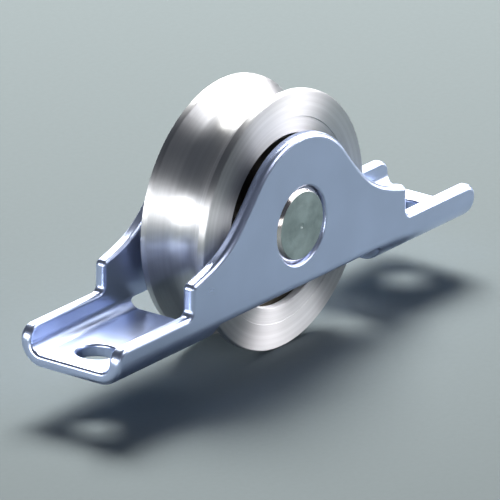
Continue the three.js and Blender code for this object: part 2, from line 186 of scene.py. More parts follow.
class RollerFinishes(bpy.types.PropertyGroup):
    """Colours and roughness of the metals."""
    # The sheet's own steel colour with extra blue in it: the blue is a painted reflection of a
    # bluish surround.
    sheet_and_reflection_colour: colour("Pressed sheet", "Bright rolled stainless", (0.57, 0.66, 0.90))
    sheet_roughness: share("Sheet roughness", "Roughness of the pressed sheet", 0.28)
    turned_colour: colour("Turned steel", "Bright turned stainless", (0.72, 0.73, 0.75))
    turned_roughness: share("Turned roughness", "Roughness of the wheel's faces", 0.5)
    groove_roughness: share("Groove roughness", "Roughness of the wheel's groove", 0.38)
    axle_colour: colour("Axle steel", "Matt faced bar end", (0.36, 0.44, 0.44))
    axle_roughness: share("Axle roughness", "Roughness of the axle", 0.42)
    # Painted highlight: the chamfer is the bar's own steel, painted brighter and warmer than the
    # face.
    chamfer_highlight_colour: colour("Axle chamfer", "Bright ring round the bar end", (0.86, 0.80, 0.77))
    chamfer_roughness: share("Chamfer roughness", "Roughness of the axle's chamfer", 0.14)
    bearing_colour: colour("Bearing steel", "Ground rings and balls", (0.70, 0.71, 0.72))
    bearing_roughness: share("Bearing roughness", "Roughness of the rings", 0.14)
    # Painted shade: the bearing's outer faces are painted near black to darken the recess round
    # them.
    recess_shade_colour: colour("Grease film", "Dark film on the bearing's faces", (0.07, 0.06, 0.045))
    cage_colour: colour("Cage strip", "Pressed cage and rivets", (0.60, 0.58, 0.52))
    cage_roughness: share("Cage roughness", "Roughness of the cage", 0.34)
    spring_colour: colour("Spring steel", "Oiled retaining ring", (0.16, 0.17, 0.19))
    spring_roughness: share("Spring roughness", "Roughness of the retaining ring", 0.34)


class RollerStageSettings(bpy.types.PropertyGroup):
    """Camera, floor and room light."""
    azimuth: FloatProperty(name="Azimuth", description="Camera's direction round the roller",
                           default=math.radians(-53.55), subtype="ANGLE")
    elevation: FloatProperty(name="Elevation", description="Camera's height above the horizon",
                             default=math.radians(21.0), subtype="ANGLE")
    roll: FloatProperty(name="Roll", description="Camera's turn about its own line of sight",
                        default=math.radians(0.53), subtype="ANGLE")
    distance: size("Distance", "From the camera to the roller", 1.918)
    lens: FloatProperty(name="Lens", description="Focal length in millimetres", default=742,
                        unit="CAMERA")
    floor_colour: colour("Floor", "Plain matt floor", (0.36, 0.42, 0.445))
    floor_roughness: share("Floor roughness", "Roughness of the floor", 0.8)
    room_colour: colour("Room", "Even light of the room", (0.16, 0.18, 0.22))
    room_strength: FloatProperty(name="Room strength", description="Brightness of the room's light",
                                 default=0.35, min=0)


def settings():
    return bpy.context.scene.roller


# ---------------------------------------------------------------- materials

class Nodes:
    """A short way to add shader nodes and link them."""

    def __init__(self, name, base_colour, roughness, metallic=1.0):
        self.material = bpy.data.materials.new(name)
        self.material.use_nodes = True
        self.tree = self.material.node_tree
        self.shader = self.tree.nodes["Principled BSDF"]
        self.base_colour = base_colour
        self.material.diffuse_color = (*base_colour, 1)
        self.shade("Base Color", (*base_colour, 1))
        self.shade("Roughness", roughness)
        self.shade("Metallic", metallic)

    def fill(self, node, socket, value):
        """Links a socket to another node's output, or gives it a plain value."""
        if isinstance(value, bpy.types.NodeSocket):
            self.tree.links.new(value, node.inputs[socket])
        else:
            node.inputs[socket].default_value = value

    def shade(self, socket, value):
        self.fill(self.shader, socket, value)

    def add(self, kind, inputs=None, **attributes):
        node = self.tree.nodes.new(kind)
        for key, value in attributes.items():
            setattr(node, key, value)
        for socket, value in (inputs or {}).items():
            self.fill(node, socket, value)
        return node

    def place(self, offset=(0, 0, 0), scale=(1, 1, 1)):
        """Object coordinates, moved and then scaled."""
        coordinates = self.add("ShaderNodeTexCoord").outputs["Object"]
        moved = self.add("ShaderNodeVectorMath", {0: coordinates, 1: offset}, operation="ADD")
        return self.add("ShaderNodeVectorMath", {0: moved.outputs[0], 1: scale},
                        operation="MULTIPLY").outputs[0]

    def around(self, centre):
        """Distance from an axis along Y, and place along it, as a vector in metres."""
        offset = (-centre[0], -centre[1], -centre[2])
        parts = self.add("ShaderNodeSeparateXYZ", {0: self.place(offset)})
        flat = self.add("ShaderNodeCombineXYZ", {0: parts.outputs[0], 2: parts.outputs[2]})
        radius = self.add("ShaderNodeVectorMath", {0: flat.outputs[0]}, operation="LENGTH")
        return self.add("ShaderNodeCombineXYZ",
                        {0: radius.outputs["Value"], 1: parts.outputs[1]}).outputs[0]

    def aside(self, lines):
        """Distance from the wheel's middle plane, from the vector that around() gives."""
        along = self.add("ShaderNodeSeparateXYZ", {0: lines}).outputs[1]
        return self.add("ShaderNodeMath", {0: along}, operation="ABSOLUTE").outputs[0]

    def noise(self, vector, scale, detail=2.0, roughness=0.5):
        return self.add("ShaderNodeTexNoise", {"Vector": vector, "Scale": scale,
                                               "Detail": detail, "Roughness": roughness}).outputs[0]

    def remap(self, value, low, high, start=0.0, end=1.0):
        return self.add("ShaderNodeMapRange", {"Value": value, "From Min": start,
                                               "From Max": end, "To Min": low,
                                               "To Max": high}).outputs[0]

    def add_up(self, first, second):
        return self.add("ShaderNodeMath", {0: first, 1: second}, operation="ADD").outputs[0]

    def mix(self, factor, first, second):
        """Two numbers mixed. The node's sockets go by place: 2 and 3 for numbers."""
        return self.add("ShaderNodeMix", {0: factor, 2: first, 3: second}).outputs[0]

    def blend(self, factor, first, second):
        """A linked colour mixed with a plain one: places 6 and 7 are for colours."""
        return self.add("ShaderNodeMix", {0: factor, 6: first, 7: (*second, 1)},
                        data_type="RGBA").outputs[2]

    def tint(self, value, darker, lighter, start=NOISE_RANGE[0], end=NOISE_RANGE[1]):
        """Base colour that varies between two shares of itself."""
        ramp = self.add("ShaderNodeValToRGB", {"Fac": value})
        low, high = ramp.color_ramp.elements
        low.position, high.position = start, end
        low.color = (*[c * darker for c in self.base_colour], 1)
        high.color = (*[min(1, c * lighter) for c in self.base_colour], 1)
        self.shade("Base Color", ramp.outputs[0])
        return ramp.outputs[0]

    def vary(self, value, middle, smoother, duller, start=NOISE_RANGE[0], end=NOISE_RANGE[1]):
        """A roughness that varies about a middle one."""
        return self.remap(value, middle - smoother, middle + duller, start, end)

    def bump(self, height, strength, distance, below=None):
        inputs = {"Height": height, "Strength": strength, "Distance": distance}
        if below is not None:
            inputs["Normal"] = below
        return self.add("ShaderNodeBump", inputs).outputs[0]

    def turned(self, anisotropy):
        """Stretches the shine across the tool lines, along the profile."""
        tangent = self.add("ShaderNodeTangent", direction_type="UV_MAP", uv_map=TURNING_MAP)
        self.shade("Tangent", tangent.outputs[0])
        self.shade("Anisotropic", anisotropy)

    def finished(self, roughness, normal):
        """The material, once its roughness and surface are on it."""
        self.shade("Roughness", roughness)
        self.shade("Normal", normal)
        return self.material


def pressed_sheet_material():
    """Bright rolled sheet, tumbled after pressing: faint rolling grain and dull clouds."""
    finish = settings().finishes
    # Base colour: steel plus a painted blue reflection.
    nodes = Nodes("pressed_sheet", finish.sheet_and_reflection_colour, finish.sheet_roughness)
    clouds = nodes.noise(nodes.place(), scale=90)
    along_channel = nodes.place(scale=(0.05, 1, 1))
    grain = nodes.noise(along_channel, scale=2600)
    nodes.tint(clouds, 0.92, 1.08, start=0, end=1)
    roughness = nodes.vary(clouds, finish.sheet_roughness, 0.03, 0.05, start=0, end=1)
    return nodes.finished(roughness, nodes.bump(grain, 0.05, 0.02 * MM))


def turned_steel_material():
    """Turned stainless: fine tool lines round the axle on the faces, a smoother groove, uneven
    bands and small dull patches."""
    finish = settings().finishes
    nodes = Nodes("turned_steel", finish.turned_colour, finish.turned_roughness)
    lines = nodes.around(AXLE_CENTRE)
    groove_edge = settings().wheel.groove_width / 2
    on_face = nodes.remap(nodes.aside(lines), 0, 1, groove_edge - FINISH_FADE, groove_edge)
    nodes.turned(nodes.remap(on_face, 0.9, 0.97))
    fine = nodes.noise(lines, scale=4200, detail=3, roughness=0.7)
    bands = nodes.noise(lines, scale=700, detail=3, roughness=0.6)
    patches = nodes.noise(nodes.place(), scale=130, detail=3)
    nodes.tint(bands, 0.86, 1.08)
    dull = nodes.vary(patches, 0, 0.05, 0.07)
    smooth = nodes.remap(on_face, finish.groove_roughness, finish.turned_roughness)
    broad = nodes.bump(bands, 0.15, 0.03 * MM)
    return nodes.finished(nodes.add_up(smooth, dull), nodes.bump(fine, 0.25, 0.02 * MM, broad))


def axle_steel_material():
    """The bar's faced end: concentric tool marks, matt, with a dull stain and a glossy chamfer
    painted lighter and warmer as a painted highlight.
    """
    finish = settings().finishes
    nodes = Nodes("axle_steel", finish.axle_colour, finish.axle_roughness)
    nodes.turned(0.2)
    lines = nodes.around(AXLE_CENTRE)
    radius = nodes.add("ShaderNodeSeparateXYZ", {0: lines}).outputs[0]
    face_edge = AXLE_HIGH.x - AXLE_CHAMFER
    on_chamfer = nodes.remap(radius, 0, 1, face_edge, face_edge + FINISH_FADE / 3)
    marks = nodes.noise(lines, scale=2200, detail=3, roughness=0.7)
    stain = nodes.noise(nodes.place(), scale=420, detail=4)
    stained = nodes.tint(stain, 0.82, 1.12)
    # The chamfer ring gets a painted highlight colour; only its lower roughness is real.
    nodes.shade("Base Color", nodes.blend(on_chamfer, stained, finish.chamfer_highlight_colour))
    matt = nodes.vary(marks, finish.axle_roughness, 0.06, 0.10)
    roughness = nodes.mix(on_chamfer, matt, finish.chamfer_roughness)
    return nodes.finished(roughness, nodes.bump(marks, 0.5, 0.03 * MM))


def bearing_steel_material():
    """Ground bearing steel with faint grinding lines; its outer faces are painted near black as
    painted shade in the wheel's recess.
    """
    finish = settings().finishes
    nodes = Nodes("bearing_steel", finish.bearing_colour, finish.bearing_roughness)
    lines = nodes.around(AXLE_CENTRE)
    ground = nodes.noise(lines, scale=6000)
    smear = nodes.noise(nodes.place(), scale=260, detail=3)
    # Painted shade: everything beyond the shields' inner side is painted dark, standing for the
    # shaded recess.
    painted_shade = nodes.remap(nodes.aside(lines), 0, 1, SHIELD_LOW.y - FINISH_FADE, SHIELD_LOW.y)
    steel = nodes.tint(smear, 0.94, 1.04)
    nodes.shade("Base Color", nodes.blend(painted_shade, steel, finish.recess_shade_colour))
    steel_roughness = nodes.vary(smear, finish.bearing_roughness, 0.04, 0.07)
    roughness = nodes.mix(painted_shade, steel_roughness, nodes.remap(smear, 0.26, 0.44))
    return nodes.finished(roughness, nodes.bump(ground, 0.15, 0.01 * MM))


def cage_strip_material():
    """Pressed strip: slightly warm, drawn and dulled where it was formed."""
    finish = settings().finishes
    nodes = Nodes("cage_strip", finish.cage_colour, finish.cage_roughness)
    drawn = nodes.noise(nodes.place(), scale=700, detail=3)
    nodes.tint(drawn, 0.85, 1.08)
    roughness = nodes.vary(drawn, finish.cage_roughness, 0.06, 0.10)
    return nodes.finished(roughness, nodes.bump(drawn, 0.2, 0.02 * MM))


def spring_steel_material():
    """Blackened, oiled spring steel, rubbed brighter in places."""
    finish = settings().finishes
    nodes = Nodes("spring_steel", finish.spring_colour, finish.spring_roughness)
    rubbed = nodes.noise(nodes.place(), scale=500, detail=4, roughness=0.6)
    nodes.tint(rubbed, 0.75, 1.5, start=0.35, end=0.75)
    roughness = nodes.vary(rubbed, finish.spring_roughness, 0.08, 0.10)
    return nodes.finished(roughness, nodes.bump(rubbed, 0.2, 0.02 * MM))


def floor_material():
    """Plain and matt, so that it mirrors none of the lights."""
    stage = settings().stage
    nodes = Nodes("pale_floor", stage.floor_colour, stage.floor_roughness, metallic=0.0)
    nodes.shade("Specular IOR Level", 0)
    grain = nodes.noise(nodes.place(), scale=900, detail=3)
    nodes.tint(grain, 0.985, 1.015)
    return nodes.finished(stage.floor_roughness, nodes.bump(grain, 0.05, 0.05 * MM))


MATERIAL_MAKERS = {
    "pressed_sheet": pressed_sheet_material,
    "turned_steel": turned_steel_material,
    "axle_steel": axle_steel_material,
    "bearing_steel": bearing_steel_material,
    "cage_sheet": cage_strip_material,
    "spring_steel": spring_steel_material,
}
made_materials = {}


def material_for(slot):
    if slot not in made_materials:
        made_materials[slot] = MATERIAL_MAKERS[slot]()
    return made_materials[slot]


def record_slot(node):
    for part in frame["record"]["subparts"]:
        if part["node"] == node:
            return part["material_slot"]
    raise ValueError(f"the record has no sub-part named {node}")


def body_of(node):
    return frame["nodes"][node]["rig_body"]


# ---------------------------------------------------------------- modelling helpers

def finish_piece(name, bm, node, smooth_angle=35, weighted=True):
    """Checks that the mesh is closed, and makes it an object that stands for a node, with that
    node's finish."""
    bmesh.ops.remove_doubles(bm, verts=bm.verts, dist=MERGE_DISTANCE)
    bmesh.ops.recalc_face_normals(bm, faces=bm.faces)
    loose = [edge for edge in bm.edges if len(edge.link_faces) != 2]
    if loose:
        raise RuntimeError(f"{name} isn't closed: {len(loose)} open edges")
    mesh = bpy.data.meshes.new(name)
    bm.to_mesh(mesh)
    bm.free()
    mesh.shade_smooth()
    mesh.set_sharp_from_angle(angle=math.radians(smooth_angle))
    piece = bpy.data.objects.new(name, mesh)
    bpy.context.scene.collection.objects.link(piece)
    if weighted:
        modifier = piece.modifiers.new("weighted_normals", "WEIGHTED_NORMAL")
        modifier.keep_sharp = True
        modifier.weight = 100  # the large flat faces decide, not the small ones at an edge
    slot = record_slot(node)
    mesh.materials.append(material_for(slot))
    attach(piece, body_of(node))
    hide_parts(node)
    return piece


def round_corner(bm, vertex, radius, segments=4):
    """Rounds one corner of a flat face to a radius."""
    first, second = (edge.other_vert(vertex).co - vertex.co for edge in vertex.link_edges)
    reach = radius / math.tan(first.angle(second) / 2)
    bmesh.ops.bevel(bm, geom=[vertex], offset=reach, offset_type="OFFSET", segments=segments,
                    profile=0.5, affect="VERTICES", material=-1, clamp_overlap=False)


def profile_loop(corners, segments=4):
    """A closed outline in the XY plane: X is the radius and Y the place along the axle.
    Each corner is (radius, y) or (radius, y, rounding)."""
    bm = bmesh.new()
    vertices = [bm.verts.new((corner[0], corner[1], 0)) for corner in corners]
    bm.faces.new(vertices)
    for vertex, corner in zip(vertices, corners):
        if len(corner) > 2 and corner[2] > 0:
            round_corner(bm, vertex, corner[2], segments)
    bmesh.ops.delete(bm, geom=bm.faces, context="FACES_ONLY")
    on_axis = [e for e in bm.edges if all(v.co.x < MERGE_DISTANCE for v in e.verts)]
    bmesh.ops.delete(bm, geom=on_axis, context="EDGES")
    return bm


def turn(bm, centre, segments):
    """Spins an outline a full turn round the Y axis, then moves it to its place."""
    bmesh.ops.spin(bm, geom=[*bm.verts, *bm.edges], cent=(0, 0, 0), axis=(0, 1, 0), dvec=(0, 0, 0),
                   angle=FULL_TURN, steps=segments, use_merge=True)
    bmesh.ops.remove_doubles(bm, verts=bm.verts, dist=MERGE_DISTANCE)
    bmesh.ops.translate(bm, verts=bm.verts, vec=centre)
    return bm


def lay_out_turning(bm, centre):
    """Adds a UV map that runs along a turned piece's profile and then round its axis."""
    layer = bm.loops.layers.uv.new(TURNING_MAP)
    for face in bm.faces:
        middle = face.calc_center_median() - centre
        outward = Vector((middle.x, 0, middle.z)).normalized()
        facing_out, facing_along = face.normal.dot(outward), face.normal.y
        start = math.atan2(middle.x, middle.z)
        for loop in face.loops:
            place = loop.vert.co - centre
            radius = math.hypot(place.x, place.z)
            around = (math.atan2(place.x, place.z) - start + math.pi) % FULL_TURN
            along = (facing_out * place.y - facing_along * radius) / MM
            loop[layer].uv = (along, around)


def turned_piece(name, node, corners, segments, centre=AXLE_CENTRE, rounding_steps=4):
    bm = turn(profile_loop(corners, rounding_steps), centre, segments)
    bmesh.ops.recalc_face_normals(bm, faces=bm.faces)
    lay_out_turning(bm, Vector(centre))
    return finish_piece(name, bm, node)


def arc_points(centre_x, centre_y, radius, start, end, steps):
    """Points on an arc, both ends included."""
    angles = [start + (end - start) * i / steps for i in range(steps + 1)]
    return [(centre_x + radius * math.cos(a), centre_y + radius * math.sin(a)) for a in angles]


def mirrored(corners):
    """The same corners on the other side of the wheel's middle plane."""
    return [(corner[0], -corner[1], *corner[2:]) for corner in reversed(corners)]


# ---------------------------------------------------------------- the pressed channel

class Blank:
    """The flat blank that the channel is pressed from, and how it bends.
    On the flat, X runs along the channel, Y across the developed sheet, and Z through it."""

    flare_angle = math.radians(40)      # where the crown's arc meets the flare
    flare_length = 12 * MM              # how far the curve keeps its direction there
    shoulder_slope = math.radians(14)   # the flare's slope at the step
    shoulder_length = 11 * MM           # how far the curve keeps its direction there
    flare_steps, crown_steps = 28, 26
    screw_hole_steps, axle_hole_steps = 36, 60
    corner_steps = 8
    broad_rounding = 0.5 * MM           # a rounding above it gets more steps
    broad_steps, fine_steps = 6, 3
    edge_reach = 0.5 * MM               # an edge this near an opening belongs to it

    def __init__(self, sizes):
        self.sizes = sizes
        self.half_length = FRAME_HIGH.x
        self.bend_start = FRAME_HIGH.y - sizes.bend_radius
        self.bend_centre_z = FRAME_LOW.z + sizes.bend_radius
        self.bend_length = QUARTER_TURN * (sizes.bend_radius - sizes.sheet / 2)
        self.crown_radius = FRAME_HIGH.z - AXLE_CENTRE.z
        self.axle_hole_radius = (AXLE_HIGH.x - AXLE_LOW.x) / 2 + AXLE_GAP

    def across(self, z):
        """Where a height on the wall lies on the flat blank."""
        return self.bend_start + self.bend_length + z - self.bend_centre_z

    def bend(self, point):
        """Where a point of the flat blank lies on the bent channel."""
        side = 1 if point.y >= 0 else -1
        beyond = abs(point.y) - self.bend_start
        if beyond <= 0:
            return Vector((point.x, point.y, FRAME_LOW.z + point.z))
        angle = min(beyond / self.bend_length, 1) * QUARTER_TURN
        radius = self.sizes.bend_radius - point.z
        rise = max(0, beyond - self.bend_length)
        y = self.bend_start + radius * math.sin(angle)
        z = self.bend_centre_z - radius * math.cos(angle) + rise
        return Vector((point.x, side * y, z))

    def cheek_outline(self):
        """From the step's corner, up the flare and over half of the crown."""
        axle = self.across(AXLE_CENTRE.z)
        crown = arc_points(0, axle, self.crown_radius, self.flare_angle, QUARTER_TURN,
                           self.crown_steps)
        start = Vector((self.sizes.step_x, self.across(self.sizes.step_top)))
        end = Vector(crown[0])
        slope = Vector((-math.cos(self.shoulder_slope), math.sin(self.shoulder_slope)))
        fall = Vector((math.sin(self.flare_angle), -math.cos(self.flare_angle)))
        flare = interpolate_bezier((*start, 0), (*(start + slope * self.shoulder_length), 0),
                                   (*(end + fall * self.flare_length), 0), (*end, 0),
                                   self.flare_steps)
        return [(p.x, p.y) for p in flare[:-1]] + crown

    def quarter(self):
        """One quarter of the blank as a single flat face."""
        s = self.sizes
        slot_x, slot_y = s.slot_length / 2, s.slot_width / 2
        low_wall, axle = self.across(s.low_wall_top), self.across(AXLE_CENTRE.z)
        bm = bmesh.new()
        slot = self.add_points(bm, [(0, slot_y), (slot_x, slot_y), (slot_x, 0)])
        screw_hole = self.add_points(bm, arc_points(
            s.screw_hole_x, 0, s.screw_hole_radius, math.pi, 0, self.screw_hole_steps))
        wall_end = self.add_points(bm, [(self.half_length, 0), (self.half_length, low_wall)])
        foot = self.add_points(bm, [(s.step_x, low_wall)])
        cheek = self.add_points(bm, self.cheek_outline())
        axle_hole = self.add_points(bm, arc_points(
            0, axle, self.axle_hole_radius, QUARTER_TURN, -QUARTER_TURN, self.axle_hole_steps))
        bm.faces.new([*slot, *screw_hole, *wall_end, *foot, *cheek, *axle_hole])
        for vertex, radius in ((slot[1], s.slot_corner_radius), (wall_end[1], s.wall_end_radius),
                               (foot[0], s.step_foot_radius), (cheek[0], s.step_top_radius)):
            round_corner(bm, vertex, radius, self.corner_steps)
        return bm

    def add_points(self, bm, points):
        return [bm.verts.new((x, y, 0)) for x, y in points]

    def edge_rounding(self, middle, outer):
        """How much the blank's edge is rounded at a place, on its outer or inner face."""
        s, near = self.sizes, self.edge_reach
        x, y = abs(middle.x), abs(middle.y)
        axle = self.across(AXLE_CENTRE.z)
        if math.hypot(x, y - axle) < self.axle_hole_radius + near:
            return s.axle_hole_rounding if outer else s.axle_hole_inner
        if math.hypot(x - s.screw_hole_x, y) < s.screw_hole_radius + near:
            return s.screw_hole_rounding if outer else s.screw_hole_lip
        if x < s.slot_length / 2 + near and y < s.slot_width / 2 + near:
            return s.slot_rounding
        return s.edge_rounding if outer else s.inner_rounding

    def round_edges(self, bm):
        """Rounds the blank's edges in groups that share a size."""
        steepest = 0.5  # a face whose normal leans less than this along Z is cut through the sheet
        groups = {}
        for edge in bm.edges:
            heights = [vertex.co.z for vertex in edge.verts]
            flat = abs(heights[0] - heights[1]) < MERGE_DISTANCE
            at_cut = any(abs(face.normal.z) < steepest for face in edge.link_faces)
            if flat and at_cut:
                middle = (edge.verts[0].co + edge.verts[1].co) / 2
                outer = heights[0] < self.sizes.sheet / 2
                groups.setdefault(self.edge_rounding(middle, outer), []).append(edge)
        for rounding, edges in sorted(groups.items()):
            steps = self.broad_steps if rounding > self.broad_rounding else self.fine_steps
            bmesh.ops.bevel(bm, geom=[edge for edge in edges if edge.is_valid], offset=rounding,
                            offset_type="OFFSET", segments=steps, profile=0.5, affect="EDGES",
                            material=-1, clamp_overlap=False, loop_slide=True)

    def solid(self):
        """The whole channel: quarter, mirrored twice, thickened, edges rounded, then bent."""
        bm = self.quarter()
        for axis in ("X", "Y"):
            bmesh.ops.mirror(bm, geom=[*bm.verts, *bm.edges, *bm.faces], matrix=Matrix(),
                             merge_dist=MERGE_DISTANCE, axis=axis)
        bmesh.ops.recalc_face_normals(bm, faces=bm.faces)
        raised = bmesh.ops.extrude_face_region(bm, geom=bm.faces[:])["geom"]
        tops = [item for item in raised if isinstance(item, bmesh.types.BMVert)]
        bmesh.ops.translate(bm, verts=tops, vec=(0, 0, self.sizes.sheet))
        bmesh.ops.recalc_face_normals(bm, faces=bm.faces)
        self.round_edges(bm)
        steps = self.sizes.bend_steps
        for side in (-1, 1):
            for i in range(steps + 1):
                line = side * (self.bend_start + self.bend_length * i / steps)
                bmesh.ops.bisect_plane(bm, geom=[*bm.verts, *bm.edges, *bm.faces],
                                       dist=MERGE_DISTANCE, plane_co=(0, line, 0),
                                       plane_no=(0, 1, 0))
        for vertex in bm.verts:
            vertex.co = self.bend(vertex.co)
        return bm


# ---------------------------------------------------------------- operators

class BuildOperator:
    """What every building operator shares."""
    bl_options = {"REGISTER", "UNDO"}


class ROLLER_OT_stage(BuildOperator, bpy.types.Operator):
    """Adds the floor, the lights and the camera"""
    bl_idname = "roller.stage"
    bl_label = "Stage"

    aim_offset = Vector((-2.3, -1.2, -6.6)) * MM  # what the camera aims at, from the axle's centre

    def execute(self, context):
        stage = settings().stage
        self.add_floor()
        self.add_room(context, stage)
        self.add_lights()
        self.add_camera(context, stage)
        return {"FINISHED"}

    def add_floor(self):
        bm = bmesh.new()
        bmesh.ops.create_grid(bm, x_segments=1, y_segments=1, size=3)
        mesh = bpy.data.meshes.new("floor")
        bm.to_mesh(mesh)
        bm.free()
        mesh.materials.append(floor_material())
        floor = bpy.data.objects.new("floor", mesh)
        bpy.context.scene.collection.objects.link(floor)
        floor.location.z = CAD_LOW.z

    def add_room(self, context, stage):
        world = bpy.data.worlds.new("room")
        world.use_nodes = True
        background = world.node_tree.nodes["Background"]
        background.inputs["Color"].default_value = (*stage.room_colour, 1)
        background.inputs["Strength"].default_value = stage.room_strength
        context.scene.world = world
        context.scene.view_settings.view_transform = "Standard"

    def add_lights(self):
        """Softboxes: (name, place, width, height, watts, colour), in metres, facing the roller.
        The key lights everything. The others are cards that only show up in the metal."""
        softboxes = (
            ("key_softbox", (0.50, 0.40, 0.80), 0.5, 0.5, 14, (1, 0.975, 0.92)),
            ("back_card", (0.75, 0.58, 0.34), 0.9, 0.6, 8, (1, 0.99, 0.97)),
            ("top_card", (0.80, -0.05, 0.62), 0.9, 0.5, 6, (1, 0.985, 0.97)),
            ("left_card", (-0.92, 0.10, 0.17), 1.5, 0.36, 10, (1, 1, 1)),
            ("front_left_card", (-0.50, -0.75, 0.14), 0.5, 0.2, 0.65, (1, 1, 1)),
            ("right_card", (0.87, -0.42, 0.17), 0.5, 0.3, 3.6, (1, 0.96, 0.97)),
            ("front_card", (0.45, -0.60, 0.62), 0.6, 0.5, 3.4, (1, 0.99, 1)),
        )
        for name, place, width, height, watts, tint in softboxes:
            data = bpy.data.lights.new(name, "AREA")
            data.shape = "RECTANGLE"
            data.size, data.size_y = width, height
            data.energy = watts
            data.color = tint
            lamp = bpy.data.objects.new(name, data)
            lamp.visible_diffuse = not name.endswith("card")
            lamp.location = place
            aim = Vector(place) - AXLE_CENTRE
            lamp.rotation_euler = aim.to_track_quat("Z", "Y").to_euler()
            bpy.context.scene.collection.objects.link(lamp)

    def add_camera(self, context, stage):
        aim = AXLE_CENTRE + self.aim_offset
        a, e = stage.azimuth, stage.elevation
        back = Vector((math.sin(a) * math.cos(e), -math.cos(a) * math.cos(e), math.sin(e)))
        data = bpy.data.cameras.new("camera")
        data.sensor_width = 36
        data.lens = stage.lens
        data.clip_end = 20
        camera = bpy.data.objects.new("camera", data)
        camera.rotation_mode = "QUATERNION"
        roll = Matrix.Rotation(stage.roll, 4, "Z").to_quaternion()
        camera.rotation_quaternion = back.to_track_quat("Z", "Y") @ roll
        camera.location = aim + back * stage.distance
        context.scene.collection.objects.link(camera)
        context.scene.camera = camera


class ROLLER_OT_channel(BuildOperator, bpy.types.Operator):
    """Builds the pressed channel with its cheeks, slot and holes"""
    bl_idname = "roller.channel"
    bl_label = "Channel"

    def execute(self, context):
        finish_piece("pressed_channel", Blank(settings().frame).solid(), "frame", smooth_angle=40)
        return {"FINISHED"}


class ROLLER_OT_wheel(BuildOperator, bpy.types.Operator):
    """Builds the grooved wheel"""
    bl_idname = "roller.wheel"
    bl_label = "Wheel"

    def execute(self, context):
        s = settings().wheel
        radius, face = WHEEL_HIGH.x, WHEEL_HIGH.y
        sunk = face - s.face_step_depth
        seat = OUTER_HIGH.x + s.seat_gap
        bearing_face = OUTER_HIGH.y
        ring_face = bearing_face + s.seat_gap
        clip_end = CLIP_HIGH.y + s.seat_gap / 2
        rim, edge, inside, step = 0.35 * MM, 0.25 * MM, 0.1 * MM, 0.05 * MM
        front_face = [
            (s.lip_radius, -ring_face, inside), (s.lip_radius, -sunk, edge),
            (s.face_step_radius, -sunk, step), (s.face_step_radius, -face, step),
            (radius, -face, rim), (radius, -s.groove_width / 2, edge),
            (s.root_radius, -s.root_width / 2, s.root_rounding),
        ]
        tread_and_back = mirrored(front_face[2:]) + [(seat, sunk, edge)]
        bore = [
            (seat, clip_end), (s.clip_groove_radius, clip_end),
            (s.clip_groove_radius, bearing_face), (seat, bearing_face),
            (seat, -ring_face, inside),
        ]
        turned_piece("grooved_wheel", "wheel", front_face + tread_and_back + bore, s.segments,
                     rounding_steps=8)
        return {"FINISHED"}


class ROLLER_OT_axle(BuildOperator, bpy.types.Operator):
    """Builds the axle with its chamfered, faced ends"""
    bl_idname = "roller.axle"
    bl_label = "Axle"

    def execute(self, context):
        radius, end = AXLE_HIGH.x, AXLE_HIGH.y
        dimple_radius, dimple_depth = 0.55 * MM, 0.25 * MM
        dimple_edge, face_edge, side_edge = 0.1 * MM, 0.12 * MM, 0.15 * MM
        half = [
            (0, end - dimple_depth), (dimple_radius, end, dimple_edge),
            (radius - AXLE_CHAMFER, end, face_edge), (radius, end - AXLE_CHAMFER, side_edge),
        ]
        corners = [(r, -y, *more) for r, y, *more in half] + half[::-1]
        turned_piece("axle_pin", "axle", corners, segments=144)
        return {"FINISHED"}


class ROLLER_OT_bearing_rings(BuildOperator, bpy.types.Operator):
    """Builds the bearing's outer and inner rings, with their races"""
    bl_idname = "roller.bearing_rings"
    bl_label = "Bearing Rings"

    def execute(self, context):
        s = settings().bearing
        face, outer, bore = OUTER_HIGH.y, OUTER_HIGH.x, AXLE_HIGH.x + AXLE_GAP
        seat_floor = SHIELD_LOW.y - s.race_gap
        corner, shoulder, mouth, inside = 0.6 * MM, 0.3 * MM, 0.15 * MM, 0.1 * MM
        turned_piece("outer_ring", "bearing_outer_ring", [
            (s.shield_seat, -face, mouth), (outer, -face, corner), (outer, face, corner),
            (s.shield_seat, face, mouth), (s.shield_seat, seat_floor),
            (s.outer_shoulder, seat_floor, inside), *self.race(s, s.outer_shoulder),
            (s.outer_shoulder, -seat_floor, inside), (s.shield_seat, -seat_floor),
        ], s.segments)
        turned_piece("inner_ring", "bearing_inner_ring", [
            (bore, face, corner), (bore, -face, corner), (s.inner_shoulder, -face, shoulder),
            *self.race(s, s.inner_shoulder), (s.inner_shoulder, face, shoulder),
        ], s.segments)
        return {"FINISHED"}

    def race(self, s, shoulder, steps=20):
        """The race's arc round a ball, from one shoulder to the other."""
        radius = s.ball_radius + s.race_gap
        depth = shoulder - s.pitch_radius
        half_angle = math.acos(abs(depth) / radius)
        middle = 0 if depth > 0 else math.pi
        return arc_points(s.pitch_radius, 0, radius, middle + half_angle, middle - half_angle,
                          steps)


class ROLLER_OT_balls(BuildOperator, bpy.types.Operator):
    """Builds the bearing's balls"""
    bl_idname = "roller.balls"
    bl_label = "Balls"

    def execute(self, context):
        for i in range(BALL_COUNT):
            node = f"ball_{i + 1}"
            low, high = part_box(node)
            bm = bmesh.new()
            bmesh.ops.create_icosphere(bm, subdivisions=4, radius=settings().bearing.ball_radius)
            bmesh.ops.translate(bm, verts=bm.verts, vec=(low + high) / 2)
            finish_piece(f"bearing_ball_{i + 1}", bm, node, weighted=False)
        return {"FINISHED"}


